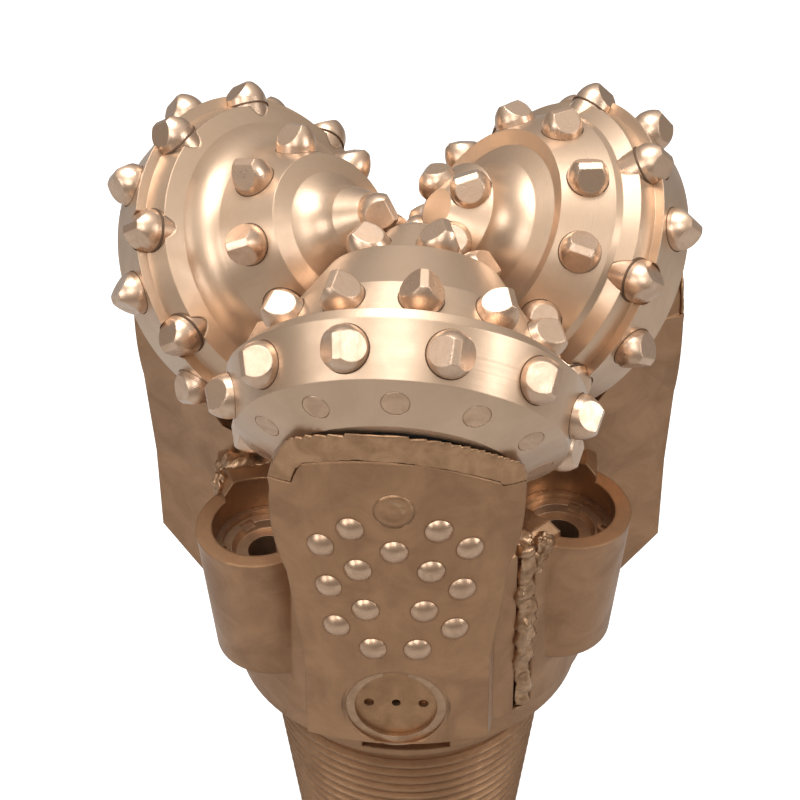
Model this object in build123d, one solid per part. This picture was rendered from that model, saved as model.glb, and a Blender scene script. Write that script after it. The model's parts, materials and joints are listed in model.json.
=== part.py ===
from build123d import *
import os
from dataclasses import dataclass
from math import asin, atan2, cos, degrees, hypot, radians, sin, sqrt

# Three-cone insert rock bit, 8 1/2 in, standing on its pin with the cones up.
# Millimetres and degrees. Origin: centre of the make-up shoulder, +Z towards the cones.
# Leg 1 faces -Y; legs 2 and 3 follow at 120 degree steps about Z.
# Cone sizes are written as (u, r): u runs back along the journal from the point where
# the three journal axes come together, r is the radius about the journal.

# ---------------------------------------------------------------- whole bit
BIT_DIAMETER = 215.9
LEG_COUNT = 3
LEG_PITCH = 360.0 / LEG_COUNT
LEG_UNDER_GAUGE = 3.4          # how far the legs stand inside the hole wall
PIN_ANGLE = 34.0               # journal axis against the horizontal
CONE_SKEW = 5.5                # sideways offset of each journal axis
CROSSING_Z = 207.0             # height at which the journal axes come together
SEAM_ANGLE = 42.0              # from a leg's own direction to the seam on its right

# ---------------------------------------------------------------- fits
RUNNING_FIT = 0.06             # radial, turning faces that run in grease
PRESS_FIT = 0.02               # radial, inserts and buttons in their holes
SLIDE_FIT = 0.1                # radial, pieces that are dropped in and held by a ring
CONE_GAP = 1.0                 # between the back of a cone and its leg

# ---------------------------------------------------------------- inserts
OUTER_INSERT_R = 7.94          # 5/8 in inserts of the heel and gauge rows
INNER_INSERT_R = 7.54          # 19/32 in inserts of the inner rows
INSERT_GRIP = 11.0             # length held in the cone
INSERT_SHOULDER = 0.22         # share of the projection that stays cylindrical
CREST_WIDTH = 2.8
CREST_LENGTH = 8.6
HEAD_FULLNESS = 0.72           # how far the head bulges out half way up, 0.5 is straight
HEEL_PROJECTION = 8.4
GAUGE_PROJECTION = 8.6
BUTTON_R = 4.75                # 3/8 in flat and domed wear buttons
BUTTON_GRIP = 7.0
BUTTON_DOME = 2.2
BUTTON_CHAMFER = 0.5

# ---------------------------------------------------------------- cones, (u, r)
CONE_BACK_U = 101.0
CONE_BACK_R = 40.0
BEVEL_TOP = (91.4, 56.9)       # back bevel meets the heel band
HEEL_TOP = (72.1, 62.4)        # heel band meets the turned step
STEP_FOOT = (71.9, 58.2)

# ---------------------------------------------------------------- bearing, (u, r)
JOURNAL_R = 29.0
BUSH_WALL = 2.4
BUSH_START_U = 95.0
BUSH_END_U = 70.2
JOURNAL_STEP = 1.8             # how far behind the bush's end the journal steps down
RACE_U = 62.5
RACE_LAND_R = 26.0
BALL_R = 6.35
BALL_COUNT = 12
THRUST_U = 56.5
THRUST_WASHER = 2.0
WASHER_RIM = 3.0               # how far the washer's rim stays inside the ball circle
PILOT_R = 15.0
PILOT_END_U = 43.0
PILOT_CHAMFER = 1.5
SEAL_SECTION_R = 2.5
SEAL_RADIAL_GAP = 0.1
SEAL_LEDGE = 0.2               # from the bottom of the seal gland to the bush
RACE_RELIEF = 0.2              # by which the lands miss the ball circle

# ---------------------------------------------------------------- legs
CORE_R = 74.0
CROTCH_Z = CROSSING_Z - 110.0  # top of the body between the cones
CROTCH_BEVEL = 4.0
SHIRTTAIL_R = 43.5             # round top of the leg, about the journal axis
SHIRTTAIL_WAIST = 33.0         # half width at the foot of the leg
SHIRTTAIL_TOP_Z = CROSSING_Z - 53.0
SHIRTTAIL_WAIST_Z = CROSSING_Z - 129.0
RESERVOIR_Z = CROSSING_Z - 150.0
LEG_FOOT_Z = RESERVOIR_Z - 17.0
LEG_INNER_R = 40.0
SHANK_TOP_Z = 15.0
SHANK_R = 70.0
SHOULDER_R = 67.65
SHOULDER_BEVEL = 2.35
BREAKER_SLOT = (34.0, 7.0, 10.5)  # width, depth and height of the bit-breaker slots
HARDFACE_WIDTH = 6.5
HARDFACE_DEPTH = 1.4
CONE_CLEARANCE = ((102.0, 62.0), (86.0, 72.5), (64.0, 72.5), (38.0, 58.0), (-6.0, 30.0))

# ---------------------------------------------------------------- pin, 4 1/2 in API regular
PIN_LENGTH = 107.95
PIN_LARGE_D = 117.475
PIN_TAPER = 0.25               # on the diameter
PIN_BASE_D = 115.87
PIN_BASE_LENGTH = 12.7
PIN_END_CHAMFER = 3.0
THREAD_HEIGHT = 2.99           # the pin is turned to the root of its thread
MUD_BORE_R = 28.6
PLENUM_TOP_Z = 24.0

# ---------------------------------------------------------------- nozzles
NOZZLE_ANGLE = -49.9           # from a leg's own direction
NOZZLE_OUT_R = 66.5            # rim centre from the bit axis
NOZZLE_RIM_Z = CROSSING_Z - 116.3
NOZZLE_TILT = 6.0
BOSS_R = 25.2
BOSS_FOOT_Z = 27.0
BOSS_FOOT_CHAMFER = 7.56
WEB_SETBACK = 4.0              # how far the web stays inside the ends of the boss
WEB_REACH = 0.6                # share of the way from the boss to the bit axis
POCKET_R = 19.0
POCKET_DEPTH = 37.0
NOZZLE_TOP_DEPTH = 11.0
NOZZLE_THROAT_R = 7.2
NOZZLE_INLET_R = 13.0
NOZZLE_BELL = 0.62             # depth at which the inlet bell starts, as a share of the pocket
NOZZLE_DISH = 3.0              # depth of the dish in the top face
NOZZLE_DISH_TAPER = 1.2
NOTCH = (5.0, 31.0)            # width and reach of the wrench notches
RING_WIRE = 2.0                # thickness of the nozzle retaining ring
RING_REACH = 3.6               # radial width of that ring
RING_SEAT = 1.3                # how far the ring sits in the pocket wall
RING_GAP = 34.0                # open angle of the ring
EAR_R = 3.0
EAR_ANGLE = 5.0                # from the end of the ring to the middle of its ear
EAR_HOLE_R = 1.1
EAR_HOLE_SHIFT = 0.6
ORING_R = 1.75
ORING_GROOVE = 1.2             # half width of the groove as a share of the wire
PASSAGE_R = 11.5
PASSAGE_LAP = 2.0              # how far a passage starts inside the pocket
PASSAGE_DROP = 8.0             # how far below the shank's top the passages come together

# ---------------------------------------------------------------- shirttail buttons
BUTTON_TOP_Z = CROSSING_Z - 68.5
BUTTON_ROW_STEP = 8.8
BUTTON_WIDE = 15.0             # sideways place of the top pair
BUTTON_TAPER = 2.4             # how much closer each inner pair stands
BUTTON_EDGE = 25.5             # sideways place of the outer buttons
BUTTON_ROWS = 7

# ---------------------------------------------------------------- ball plug and grease reservoir
BALL_HOLE_R = 6.8
BALL_HOLE_RUNOUT = 2.0         # how far the ball hole is drilled past the race's middle
PLUG_SURFACE_Z = CROSSING_Z - 59.7
PLUG_SETBACK = 0.6             # from the wall to the end of the plug
RESERVOIR_R = 16.5
RESERVOIR_DEPTH = 44.0
CANISTER_LENGTH = 34.0
CANISTER_WALL = 1.6
CAP_THICKNESS = 5.0
CAP_DEPTH = 3.6
CAP_RING = 1.8
CAP_RING_REACH = 4.5           # radial width of the cap's ring
CAP_RING_MOUTH = 9.0
CAP_STEP = 1.5                 # how much wider the cap is than the canister's pocket
CAP_GROOVE = 3.0               # how far the ring's groove goes past that pocket
BREATHER_R = 1.6
SPANNER_HOLE_R = 1.8
SPANNER_HOLE_DEPTH = 2.5
SPANNER_SPREAD = 0.55          # place of the spanner holes as a share of the cap's radius
DIAPHRAGM_WALL = 1.8
DIAPHRAGM_GAP = 0.3
DIAPHRAGM_SHARE = 0.55         # length of the diaphragm as a share of the canister
DIAPHRAGM_BASE = 0.6           # flat of its foot as a share of its radius
DIAPHRAGM_SLOPE = 6.0
GREASE_HOLE_R = 2.5
GREASE_HOLE_LAP = 8.0          # how far the grease hole starts inside the pocket
GREASE_MEETS = 0.45            # where it meets the ball hole, as a share of that hole

# ---------------------------------------------------------------- seam welds
WELD_DEPTH = 6.0
WELD_HALF_WIDTH = 4.6
WELD_CROWN = 1.3

LEG_R = BIT_DIAMETER / 2 - LEG_UNDER_GAUGE
LEG_FACE_U = CONE_BACK_U + CONE_GAP
BUSH_R = JOURNAL_R + BUSH_WALL
BALL_PITCH_R = RACE_LAND_R + RACE_RELIEF
RACE_GROOVE_R = BALL_R + RUNNING_FIT
SEAL_BORE_R = JOURNAL_R + 2 * (SEAL_SECTION_R + SEAL_RADIAL_GAP)
FAR = 2 * BIT_DIAMETER         # long enough to cut right through


@dataclass(frozen=True)
class Hollow:
    """A concave arc from the point before it to (u, r), sagging into the cone."""
    u: float
    r: float
    sag: float


@dataclass(frozen=True)
class Row:
    """A ring of chisel inserts on the land between two outline points."""
    name: str
    count: int
    start: float               # angle of the first insert about the journal
    land: tuple                # the two (u, r) points that bound the land
    share: float               # where between those points the row sits
    radius: float
    projection: float
    lean: float = 0.0          # added to the land's own normal, towards the back


@dataclass(frozen=True)
class ConeForm:
    outline: tuple             # from the foot of the turned step to the nose
    rows: tuple
    nose_insert: float = 0.0   # projection of a centre insert, 0 for none


def dome_sag(radius, height):
    """Sag of the arc from rim to pole of a true spherical cap."""
    sphere = (radius ** 2 + height ** 2) / (2 * height)
    return sphere - sqrt(sphere ** 2 - (radius ** 2 + height ** 2) / 4)


HEEL_LAND = (BEVEL_TOP, HEEL_TOP)

# Cone 1 carries the middle teeth between the gauge rows of the other two.
CONE_1_LAND = ((66.5, 56.6), (64.8, 49.4), (51.4, 44.0))
CONE_1_EDGE = (32.1, 31.2)
CONE_1_NOSE = ((33.5, 25.0), (14.6, 11.4))
CONE_1_TIP = 4.2               # height of the rounded tip
CONE_1 = ConeForm(
    outline=CONE_1_LAND + (CONE_1_EDGE,) + CONE_1_NOSE
    + (Hollow(CONE_1_NOSE[1][0] - CONE_1_TIP, 0.0, -dome_sag(CONE_1_NOSE[1][1], CONE_1_TIP)),),
    rows=(
        Row("heel", 11, 222.2, HEEL_LAND, 0.5, OUTER_INSERT_R, HEEL_PROJECTION),
        Row("gauge", 11, 212.7, CONE_1_LAND[1:], 0.5, INNER_INSERT_R, 9.5),
        Row("inner", 5, 223.3, CONE_1_NOSE, 0.36, INNER_INSERT_R, 9.5),
    ),
)

# Cone 2 has the widest main land, with ten teeth near the hole wall.
CONE_2_GAUGE = (64.7, 58.0)
CONE_2_GROOVE = (61.5, 52.4)
CONE_2_LAND = ((58.8, 51.4), (42.8, 39.6))
CONE_2_COLLAR = ((44.8, 34.0), (42.0, 26.8))
CONE_2_NOSE = ((26.8, 20.8), (17.9, 7.8))
CONE_2 = ConeForm(
    outline=(CONE_2_GAUGE, CONE_2_GROOVE) + CONE_2_LAND + CONE_2_COLLAR
    + (Hollow(*CONE_2_NOSE[0], 2.4), CONE_2_NOSE[1], (17.9, 0.0)),
    rows=(
        Row("heel", 8, 176.0, HEEL_LAND, 0.5, OUTER_INSERT_R, HEEL_PROJECTION),
        Row("gauge", 8, 198.5, (STEP_FOOT, CONE_2_GAUGE), 0.2, OUTER_INSERT_R,
            GAUGE_PROJECTION, 14.0),
        Row("main", 10, 201.4, CONE_2_LAND, 0.5, INNER_INSERT_R, 8.2),
        Row("inner", 4, 246.0, CONE_2_NOSE, 0.5, INNER_INSERT_R, 6.9),
    ),
)

# Cone 3 has the deep grooves and the spear point with one insert on its axis.
CONE_3_GAUGE = (63.4, 55.9)
CONE_3_GROOVE = (61.5, 48.8)
CONE_3_LAND = ((55.0, 37.6), (34.3, 29.2))
CONE_3_NOSE = (11.8, 8.4)
CONE_3 = ConeForm(
    outline=(CONE_3_GAUGE, CONE_3_GROOVE, Hollow(*CONE_3_LAND[0], 1.8), CONE_3_LAND[1],
             (32.8, 21.7), Hollow(20.4, 13.0, 1.8), CONE_3_NOSE, (11.8, 0.0)),
    rows=(
        Row("heel", 9, 266.0, HEEL_LAND, 0.5, OUTER_INSERT_R, HEEL_PROJECTION),
        Row("gauge", 9, 246.0, (STEP_FOOT, CONE_3_GAUGE), 0.2, OUTER_INSERT_R,
            GAUGE_PROJECTION, 14.0),
        Row("main", 8, 204.6, CONE_3_LAND, 0.5, INNER_INSERT_R, 9.5),
    ),
    nose_insert=9.0,
)
CONES = (CONE_1, CONE_2, CONE_3)


# ================================================================ placing
def leg_place(index):
    """Turns leg 1's frame, which faces -Y, to the leg with this index."""
    return Rot(0, 0, LEG_PITCH * index)


def cone_place(index):
    """Frame of a journal: origin at the crossing, +Z to the cone's nose, +X the skew."""
    return leg_place(index) * Location((CONE_SKEW, 0, CROSSING_Z), (PIN_ANGLE - 90, 0, 0))


def nozzle_place(index):
    """Frame of a nozzle: origin at the rim's centre, +Z out of the boss."""
    return leg_place(index) * Rot(0, 0, NOZZLE_ANGLE) * Location(
        (0, -NOZZLE_OUT_R, NOZZLE_RIM_Z), (NOZZLE_TILT, 0, 0))


def wall_place(across, z):
    """Frame on leg 1's outer wall, +Z straight out of the steel."""
    turn = degrees(asin((across + CONE_SKEW) / LEG_R))
    return Rot(0, 0, turn) * Location((0, -LEG_R, z), (90, 0, 0))


def row_places(row):
    """Frames of a row's inserts in the cone frame: +Z out of the land, +Y along it."""
    (back_u, back_r), (front_u, front_r) = row.land
    u = back_u + (front_u - back_u) * row.share
    r = back_r + (front_r - back_r) * row.share
    slope = degrees(atan2(back_r - front_r, back_u - front_u))
    tilt = 90 - slope + row.lean
    step = 360.0 / row.count
    return [Rot(0, 0, row.start + step * n) * Location((r, 0, -u), (0, 0, 90))
            * Rot(tilt, 0, 0) for n in range(row.count)]


def bevel_places(row):
    """Frames of the flush buttons in the back bevel, one behind each gap of the heel row."""
    (top_u, top_r), (low_u, low_r) = BEVEL_TOP, (CONE_BACK_U, CONE_BACK_R)
    slope = degrees(atan2(low_r - top_r, low_u - top_u))
    step = 360.0 / row.count
    return [Rot(0, 0, row.start + step * (n + 0.5))
            * Location(((top_r + low_r) / 2, 0, -(top_u + low_u) / 2), (0, 0, 90))
            * Rot(90 - slope, 0, 0) for n in range(row.count)]


# ================================================================ shapes
def turned(points):
    """Solid turned about Z from a closed (r, z) outline."""
    return revolve(Plane.XZ * make_face(Polyline(*points, close=True)), Axis.Z)


def ring(outer, inner, low, high):
    """Plain ring about Z."""
    return turned([(inner, low), (outer, low), (outer, high), (inner, high)])


def round_wire_ring(radius, wire_radius, z):
    """Torus about Z at height z."""
    return Pos(0, 0, z) * Torus(radius, wire_radius)


def bowed(start, end, sag):
    """Arc between two outline points; a positive sag bends it to the left of the run."""
    run = hypot(end[0] - start[0], end[1] - start[1])
    middle = ((start[0] + end[0]) / 2 + (start[1] - end[1]) / run * sag,
              (start[1] + end[1]) / 2 + (end[0] - start[0]) / run * sag)
    return ThreePointArc(start, middle, end)


def cone_outline(form):
    """Closed outline of a cone's outside, in (r, -u), from the back face to the nose."""
    at = (0.0, -CONE_BACK_U)
    edges = []
    for step in ((CONE_BACK_U, CONE_BACK_R), BEVEL_TOP, HEEL_TOP, STEP_FOOT) + form.outline:
        if isinstance(step, Hollow):
            to = (step.r, -step.u)
            edges.append(bowed(at, to, step.sag))
        else:
            to = (step[1], -step[0])
            edges.append(Line(at, to))
        at = to
    if at[0] > 0:
        edges.append(Line(at, (0.0, at[1])))
        at = (0.0, at[1])
    edges.append(Line(at, (0.0, -CONE_BACK_U)))
    return make_face(Curve() + edges)


def bearing_cavity():
    """The hollow in a cone that takes the journal, bush, balls, washer and seal."""
    thrust = THRUST_U - THRUST_WASHER - 2 * RUNNING_FIT
    pilot = PILOT_R + RUNNING_FIT
    land = BALL_PITCH_R + RACE_RELIEF
    cavity = turned([
        (0, -FAR), (SEAL_BORE_R, -FAR), (SEAL_BORE_R, -BUSH_START_U - SEAL_LEDGE),
        (BUSH_R + PRESS_FIT, -BUSH_START_U - SEAL_LEDGE), (BUSH_R + PRESS_FIT, -BUSH_END_U),
        (land, -BUSH_END_U), (land, -thrust), (pilot, -thrust),
        (pilot, -PILOT_END_U + CONE_GAP), (0, -PILOT_END_U + CONE_GAP)])
    return cavity + round_wire_ring(BALL_PITCH_R, RACE_GROOVE_R, -RACE_U)


def chisel_insert(radius, projection):
    """Carbide insert: plain grip, rounded head and a chisel crest along Y."""
    shoulder = projection * INSERT_SHOULDER
    crest = CREST_LENGTH / 2
    side = (crest + (radius - crest) * HEAD_FULLNESS, shoulder + (projection - shoulder) * 0.5)
    head = Curve() + [
        Line((0, -INSERT_GRIP), (radius - BUTTON_CHAMFER, -INSERT_GRIP)),
        Line((radius - BUTTON_CHAMFER, -INSERT_GRIP), (radius, -INSERT_GRIP + BUTTON_CHAMFER)),
        Line((radius, -INSERT_GRIP + BUTTON_CHAMFER), (radius, shoulder)),
        ThreePointArc((radius, shoulder), side, (crest, projection)),
        Line((crest, projection), (0, projection)),
        Line((0, projection), (0, -INSERT_GRIP))]
    body = revolve(Plane.XZ * make_face(head), Axis.Z)
    flank = [(-radius, -INSERT_GRIP), (radius, -INSERT_GRIP), (radius, shoulder),
             (CREST_WIDTH / 2, projection), (-CREST_WIDTH / 2, projection), (-radius, shoulder)]
    wedge = extrude(Plane.XZ * make_face(Polyline(*flank, close=True)), radius, both=True)
    return body & wedge


def flush_button():
    """Flat wear button, its top level with the steel."""
    edge = BUTTON_CHAMFER / 2
    return turned([
        (0, -BUTTON_GRIP), (BUTTON_R, -BUTTON_GRIP), (BUTTON_R, -edge), (BUTTON_R - edge, 0),
        (0, 0)])


def domed_button():
    """Wear button with a low dome that stands out of the leg."""
    profile = Curve() + [
        Line((0, -BUTTON_GRIP), (BUTTON_R, -BUTTON_GRIP)),
        Line((BUTTON_R, -BUTTON_GRIP), (BUTTON_R, 0)),
        bowed((BUTTON_R, 0), (0, BUTTON_DOME), -dome_sag(BUTTON_R, BUTTON_DOME)),
        Line((0, BUTTON_DOME), (0, -BUTTON_GRIP))]
    return revolve(Plane.XZ * make_face(profile), Axis.Z)


def hole(radius, depth, rise):
    """Blind hole for a pressed-in piece: depth into the steel, rise above it."""
    return Pos(0, 0, -depth) * Cylinder(
        radius + PRESS_FIT, depth + rise, align=(Align.CENTER, Align.CENTER, Align.MIN))


def copies(shape, places):
    """The same piece at each of the places."""
    return [place * shape for place in places]


def group(shapes):
    """Several separate solids kept as one sub-part."""
    solids = [solid for shape in shapes for solid in shape.solids()]
    return Compound(children=solids)


# ================================================================ cones
def cone_shell(form):
    """Steel cone: turned outside, bearing cavity and a hole for each insert."""
    body = revolve(Plane.XZ * cone_outline(form), Axis.Z) - bearing_cavity()
    for row in form.rows:
        body = body - copies(hole(row.radius, INSERT_GRIP, row.radius), row_places(row))
    body = body - copies(hole(BUTTON_R, BUTTON_GRIP, BUTTON_R), bevel_places(form.rows[0]))
    if form.nose_insert:
        tip = Pos(0, 0, -form.outline[-1][0])
        body = body - tip * hole(INNER_INSERT_R, INSERT_GRIP, INNER_INSERT_R)
    return body


def row_inserts(row):
    return copies(chisel_insert(row.radius, row.projection), row_places(row))


def nose_insert(form):
    """The one insert on a cone's own axis."""
    return Pos(0, 0, -form.outline[-1][0]) * chisel_insert(INNER_INSERT_R, form.nose_insert)


def journal_bush():
    return ring(BUSH_R, JOURNAL_R + RUNNING_FIT, -BUSH_START_U, -BUSH_END_U)


def thrust_washer():
    low = -THRUST_U + RUNNING_FIT
    return ring(BALL_PITCH_R - WASHER_RIM, PILOT_R + CONE_GAP, low, low + THRUST_WASHER)


def journal_seal():
    middle = (LEG_FACE_U + BUSH_START_U + SEAL_LEDGE) / 2
    return round_wire_ring(JOURNAL_R + SEAL_RADIAL_GAP + SEAL_SECTION_R, SEAL_SECTION_R, -middle)


def lock_balls():
    """Full ring of balls that keeps the cone on its journal."""
    ball = Pos(BALL_PITCH_R, 0, -RACE_U) * Sphere(BALL_R)
    return copies(ball, [Rot(0, 0, 360.0 / BALL_COUNT * (n + 0.5)) for n in range(BALL_COUNT)])


# ================================================================ legs
def journal():
    """Bearing pin on the leg's inner face, with the ball race turned into it."""
    pin = turned([
        (0, -LEG_FACE_U - CONE_GAP), (JOURNAL_R, -LEG_FACE_U - CONE_GAP),
        (JOURNAL_R, -BUSH_END_U - JOURNAL_STEP), (RACE_LAND_R, -BUSH_END_U - JOURNAL_STEP),
        (RACE_LAND_R, -THRUST_U), (PILOT_R, -THRUST_U), (PILOT_R, -PILOT_END_U - PILOT_CHAMFER),
        (PILOT_R - PILOT_CHAMFER, -PILOT_END_U), (0, -PILOT_END_U)])
    return pin - round_wire_ring(BALL_PITCH_R, RACE_GROOVE_R, -RACE_U)


def cone_clearance():
    """Room in which a cone and its inserts turn, with a margin all round."""
    points = [(r, -u) for u, r in CONE_CLEARANCE]
    return turned([(0, -LEG_FACE_U)] + points + [(0, points[-1][1])])


def shirttail():
    """Outer wall of leg 1: round top under the cone, narrowing to the shank."""
    wall = Cylinder(LEG_R, FAR)
    lobe = cone_place(0) * Pos(0, 0, -LEG_FACE_U) * Cylinder(
        SHIRTTAIL_R, FAR / 4, align=(Align.CENTER, Align.CENTER, Align.MAX))
    half_top = SHIRTTAIL_R
    outline = [
        (CONE_SKEW - half_top, SHIRTTAIL_TOP_Z), (CONE_SKEW - SHIRTTAIL_WAIST, SHIRTTAIL_WAIST_Z),
        (CONE_SKEW - SHIRTTAIL_WAIST, SHANK_TOP_Z), (CONE_SKEW + SHIRTTAIL_WAIST, SHANK_TOP_Z),
        (CONE_SKEW + SHIRTTAIL_WAIST, SHIRTTAIL_WAIST_Z), (CONE_SKEW + half_top, SHIRTTAIL_TOP_Z)]
    front = Plane.XZ * make_face(Polyline(*outline, close=True))
    slab = Pos(0, -LEG_INNER_R, 0) * extrude(front, LEG_R)
    heel = turned([(0, SHANK_TOP_Z), (CORE_R, SHANK_TOP_Z), (LEG_R, LEG_FOOT_Z),
                   (LEG_R, CROSSING_Z), (0, CROSSING_Z)])
    return (slab + lobe) & wall & heel


def body_core():
    """Round body, shank, shoulder and tapered pin, before it is split into legs."""
    end_r = (PIN_LARGE_D - PIN_LENGTH * PIN_TAPER) / 2 - THREAD_HEIGHT
    thread_r = (PIN_LARGE_D - PIN_BASE_LENGTH * PIN_TAPER) / 2 - THREAD_HEIGHT
    return turned([
        (0, -PIN_LENGTH), (end_r - PIN_END_CHAMFER, -PIN_LENGTH),
        (end_r + PIN_END_CHAMFER * PIN_TAPER / 2, -PIN_LENGTH + PIN_END_CHAMFER),
        (thread_r, -PIN_BASE_LENGTH), (PIN_BASE_D / 2, -PIN_BASE_LENGTH), (PIN_BASE_D / 2, 0),
        (SHOULDER_R, 0), (SHOULDER_R + SHOULDER_BEVEL, SHOULDER_BEVEL),
        (SHANK_R, SHANK_TOP_Z - (CORE_R - SHANK_R)), (CORE_R, SHANK_TOP_Z),
        (CORE_R, CROTCH_Z - CROTCH_BEVEL), (CORE_R - CROTCH_BEVEL, CROTCH_Z), (0, CROTCH_Z)])


def nozzle_boss():
    """Boss on leg 1 that carries a nozzle, webbed to the core behind it."""
    length = NOZZLE_RIM_Z - BOSS_FOOT_Z
    barrel = Cylinder(BOSS_R, length, align=(Align.CENTER, Align.CENTER, Align.MAX))
    barrel = chamfer(barrel.edges().sort_by(Axis.Z)[0], BOSS_FOOT_CHAMFER)
    web = Box(2 * BOSS_R, NOZZLE_OUT_R * WEB_REACH, length - 2 * WEB_SETBACK,
              align=(Align.CENTER, Align.MIN, Align.MAX))
    web = Pos(0, 0, -WEB_SETBACK) * web
    return nozzle_place(0) * (barrel + web)


def nozzle_pocket():
    """Pocket for the nozzle, its ring groove and O-ring groove, and the mud passage."""
    ring_z = -NOZZLE_TOP_DEPTH
    groove = ring(POCKET_R + RING_SEAT, 0, ring_z, ring_z + RING_WIRE + SLIDE_FIT)
    seal_z = -(NOZZLE_TOP_DEPTH + POCKET_DEPTH) / 2
    half = ORING_GROOVE * ORING_R
    seal = ring(POCKET_R + 2 * ORING_R - SLIDE_FIT, 0, seal_z - half, seal_z + half)
    pocket = Pos(0, 0, -POCKET_DEPTH) * Cylinder(
        POCKET_R, FAR, align=(Align.CENTER, Align.CENTER, Align.MIN))
    pocket = nozzle_place(0) * (pocket + groove + seal)
    start = nozzle_place(0) * Pos(0, 0, -POCKET_DEPTH + PASSAGE_LAP)
    foot = Vector(0, 0, SHANK_TOP_Z - PASSAGE_DROP)
    run = foot - start.position
    passage = Plane(origin=start.position, z_dir=run) * Cylinder(
        PASSAGE_R, run.length, align=(Align.CENTER, Align.CENTER, Align.MIN))
    return pocket + passage


def ball_hole():
    """Path of the ball hole in leg 1, from the outer wall to the lower side of the race."""
    frame = cone_place(0)
    race_low = (frame * Pos(0, BALL_PITCH_R, -RACE_U)).position
    race_high = (frame * Pos(0, -BALL_PITCH_R, -RACE_U)).position
    inner = race_low if race_low.Z < race_high.Z else race_high
    outer = Vector(CONE_SKEW, -LEG_R, PLUG_SURFACE_Z)
    return outer, inner


def ball_bore(radius, start_gap, overrun):
    """Round bar along the ball hole, start_gap inside the wall, overrun past the race."""
    outer, inner = ball_hole()
    run = inner - outer
    plane = Plane(origin=outer, z_dir=run)
    bar = Cylinder(radius, run.length + overrun - start_gap,
                   align=(Align.CENTER, Align.CENTER, Align.MIN))
    return plane * Pos(0, 0, start_gap) * bar


def reservoir_place():
    return wall_place(0.0, RESERVOIR_Z)


def reservoir_pocket():
    """Stepped pocket for the grease canister, its cap and the cap's ring."""
    cap_floor = -CAP_DEPTH - CAP_THICKNESS
    pocket = Pos(0, 0, -RESERVOIR_DEPTH) * Cylinder(
        RESERVOIR_R, FAR, align=(Align.CENTER, Align.CENTER, Align.MIN))
    seat = Pos(0, 0, cap_floor) * Cylinder(
        RESERVOIR_R + CAP_STEP, FAR, align=(Align.CENTER, Align.CENTER, Align.MIN))
    groove = ring(RESERVOIR_R + CAP_GROOVE, 0, -CAP_DEPTH, -CAP_DEPTH + CAP_RING)
    return reservoir_place() * (pocket + seat + groove)


def grease_hole():
    """Drilled way from the canister up to the ball hole."""
    start = (reservoir_place() * Pos(0, 0, -RESERVOIR_DEPTH + GREASE_HOLE_LAP)).position
    outer, inner = ball_hole()
    end = outer + (inner - outer) * GREASE_MEETS
    run = end - start
    return Plane(origin=start, z_dir=run) * Cylinder(
        GREASE_HOLE_R, run.length, align=(Align.CENTER, Align.CENTER, Align.MIN))


def breaker_slot():
    """Slot across leg 1's shank for the bit breaker."""
    width, depth, height = BREAKER_SLOT
    slot = Box(width, depth + SHANK_R, height,
               align=(Align.CENTER, Align.MAX, Align.CENTER))
    return Pos(CONE_SKEW, -SHANK_R + depth, SHANK_TOP_Z / 2) * slot


def sector():
    """The third of the body that belongs to leg 1, between its two seam planes."""
    def corner(angle):
        return (FAR * sin(radians(angle)), -FAR * cos(radians(angle)))
    corners = [(0, 0)] + [corner(SEAM_ANGLE - LEG_PITCH * share) for share in (1, 0.5, 0)]
    floor = Pos(0, 0, -FAR) * make_face(Polyline(*corners, close=True))
    return extrude(floor, 2 * FAR)


def weld_section():
    """Cross-section of a seam weld, point inwards, crown outwards along +Y."""
    edges = Curve() + [
        Line((0, -WELD_DEPTH), (WELD_HALF_WIDTH, 0)),
        ThreePointArc((WELD_HALF_WIDTH, 0), (0, WELD_CROWN), (-WELD_HALF_WIDTH, 0)),
        Line((-WELD_HALF_WIDTH, 0), (0, -WELD_DEPTH))]
    return make_face(edges)


def seam_weld():
    """Weld of the seam on leg 1's right, up the body and in over the crotch."""
    upright_foot = SHANK_TOP_Z + 1
    wall = Plane(origin=(0, -CORE_R, upright_foot), x_dir=(1, 0, 0), z_dir=(0, 0, 1))
    upright = extrude(wall * Rot(0, 0, 180) * weld_section(), CROTCH_Z - upright_foot)
    top = Plane(origin=(0, -CORE_R, CROTCH_Z), x_dir=(-1, 0, 0), z_dir=(0, 1, 0))
    inward = extrude(top * weld_section(), CORE_R - 2 * WELD_HALF_WIDTH)
    corner = turned([(0, SHANK_TOP_Z), (CORE_R + WELD_CROWN, SHANK_TOP_Z),
                     (CORE_R + WELD_CROWN, CROTCH_Z - CROTCH_BEVEL),
                     (CORE_R - CROTCH_BEVEL, CROTCH_Z + WELD_CROWN),
                     (0, CROTCH_Z + WELD_CROWN)])
    return Rot(0, 0, SEAM_ANGLE) * ((upright + inward) & corner)


def hardfacing():
    """Weld-on band round the top edge of leg 1's shirttail."""
    frame = cone_place(0)
    band = frame * ring(SHIRTTAIL_R + 1, SHIRTTAIL_R - HARDFACE_WIDTH, -FAR / 2, -LEG_FACE_U)
    edge = frame * ring(SHIRTTAIL_R, 0, -LEG_FACE_U - HARDFACE_WIDTH, -LEG_FACE_U)
    above = Pos(CONE_SKEW, -LEG_R, SHIRTTAIL_TOP_Z) * Box(
        FAR, LEG_R, CROSSING_Z - SHIRTTAIL_TOP_Z,
        align=(Align.CENTER, Align.CENTER, Align.MIN))
    shell = ring(LEG_R, LEG_R - HARDFACE_DEPTH, 0, CROSSING_Z)
    return (band + edge) & above & shell


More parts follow.
